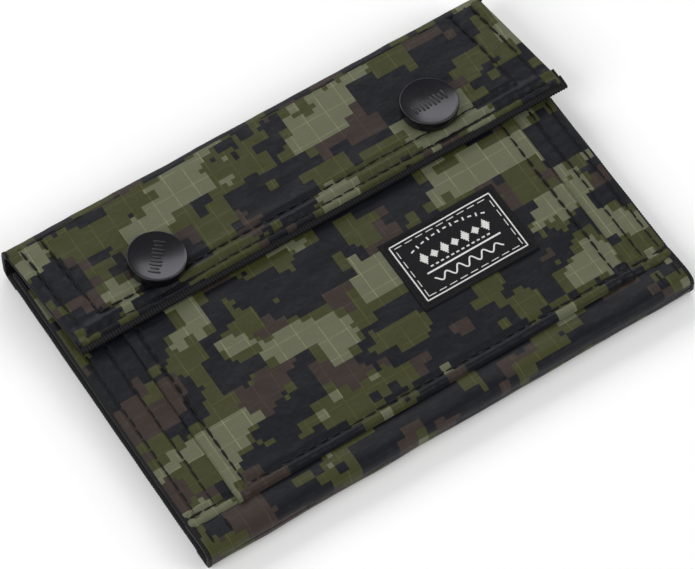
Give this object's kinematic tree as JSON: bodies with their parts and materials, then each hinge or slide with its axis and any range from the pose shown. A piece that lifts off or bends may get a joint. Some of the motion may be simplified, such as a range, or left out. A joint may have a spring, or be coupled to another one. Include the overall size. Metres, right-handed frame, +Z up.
{
  "type": "trifold wallet",
  "caption": "Folded cloth wallet: a back panel, a front panel turned over at one long fold, and a short flap from the other long fold, held by press snaps.",
  "frame": {"origin": "middle of the back panel's underside, midway between the end bindings and between the two folds", "axes": "+X along the wallet's width, +Y from the fold that joins front and back to the fold that the flap turns over, +Z up through the closed stack"},
  "size_m": [0.1288, 0.087, 0.0129],
  "materials": {
    "camo_nylon": "coated ripstop nylon in a four-colour square-pixel camouflage, slight sheen",
    "black_lining": "plain black nylon lining",
    "binding_tape": "black ribbed grosgrain tape",
    "woven_label": "black woven label with pale lines",
    "snap_cap": "glossy black enamel",
    "snap_metal": "black oxide",
    "zip_coil": "black nylon coil",
    "zip_metal": "black enamel on zinc",
    "clear_vinyl": "clear flexible vinyl",
    "stiffener_board": "thin grey plastic board"
  },
  "bodies": {
    "back": {"back_shell": "camo_nylon", "back_stiffener": "stiffener_board", "bill_pocket_wall": "black_lining", "card_slot_1": "black_lining", "card_slot_2": "black_lining", "card_slot_3": "black_lining", "back_binding_left": "binding_tape", "back_binding_right": "binding_tape"},
    "near_spine": {"near_spine_shell": "camo_nylon", "near_spine_lining": "black_lining"},
    "front": {"coin_pocket_seam_bottom": "black_lining", "coin_pocket_seam_left": "black_lining", "coin_pocket_seam_right": "black_lining", "coin_pocket_top_strip": "black_lining", "coin_pocket_wall": "black_lining", "front_binding_left": "binding_tape", "front_binding_right": "binding_tape", "front_edge_binding": "binding_tape", "front_fold_band": "camo_nylon", "front_lining": "black_lining", "front_shell": "camo_nylon", "front_stiffener": "stiffener_board", "id_frame_bottom": "black_lining", "id_frame_left": "black_lining", "id_frame_right": "black_lining", "id_frame_top": "black_lining", "id_window": "clear_vinyl", "label_patch": "woven_label", "patch_pocket": "camo_nylon", "snap_stud_left": "snap_metal", "snap_stud_right": "snap_metal", "stud_rivet_left": "snap_metal", "stud_rivet_right": "snap_metal", "zip_coil_lower": "zip_coil", "zip_coil_upper": "zip_coil", "zip_stop_left": "zip_coil", "zip_stop_right": "zip_coil", "zip_tape_lower": "binding_tape", "zip_tape_upper": "binding_tape"},
    "far_spine": {"far_spine_shell": "camo_nylon", "far_spine_lining": "black_lining"},
    "flap": {"flap_shell": "camo_nylon", "flap_lining": "black_lining", "flap_edge_binding": "binding_tape", "snap_cap_left": "snap_cap", "snap_cap_right": "snap_cap", "snap_socket_left": "snap_metal", "snap_socket_right": "snap_metal"},
    "zip_slider": {"zip_slider": "zip_metal"},
    "zip_pull": {"zip_pull": "zip_metal"}
  },
  "joints": [
    {"name": "near_fold_lower", "type": "hinge", "parent": "back", "child": "near_spine", "pos_m": [0, -0.0419, 0.0016], "axis": [1, 0, 0], "range_deg": [0, 88.8]},
    {"name": "near_fold_upper", "type": "hinge", "parent": "near_spine", "child": "front", "pos_m": [0, -0.0419, 0.0054], "axis": [1, 0, 0], "range_deg": [0, 88.8]},
    {"name": "far_fold_lower", "type": "hinge", "parent": "back", "child": "far_spine", "pos_m": [0, 0.0419, 0.0016], "axis": [-1, 0, 0], "range_deg": [0, 85]},
    {"name": "far_fold_upper", "type": "hinge", "parent": "far_spine", "child": "flap", "pos_m": [0, 0.0419, 0.0086], "axis": [-1, 0, 0], "range_deg": [0, 85]},
    {"name": "coin_zip_slide", "type": "slide", "parent": "front", "child": "zip_slider", "axis": [-1, 0, 0], "range_m": [0, 0.08]},
    {"name": "zip_pull_swivel", "type": "hinge", "parent": "zip_slider", "child": "zip_pull", "pos_m": [0.0385, 0.031, 0.00235], "axis": [0, 0, 1], "range_deg": [-25, 25]}
  ],
  "couplings": [
    {"joint": "near_fold_upper", "follows": "near_fold_lower", "ratio": 1},
    {"joint": "far_fold_upper", "follows": "far_fold_lower", "ratio": 1}
  ]
}
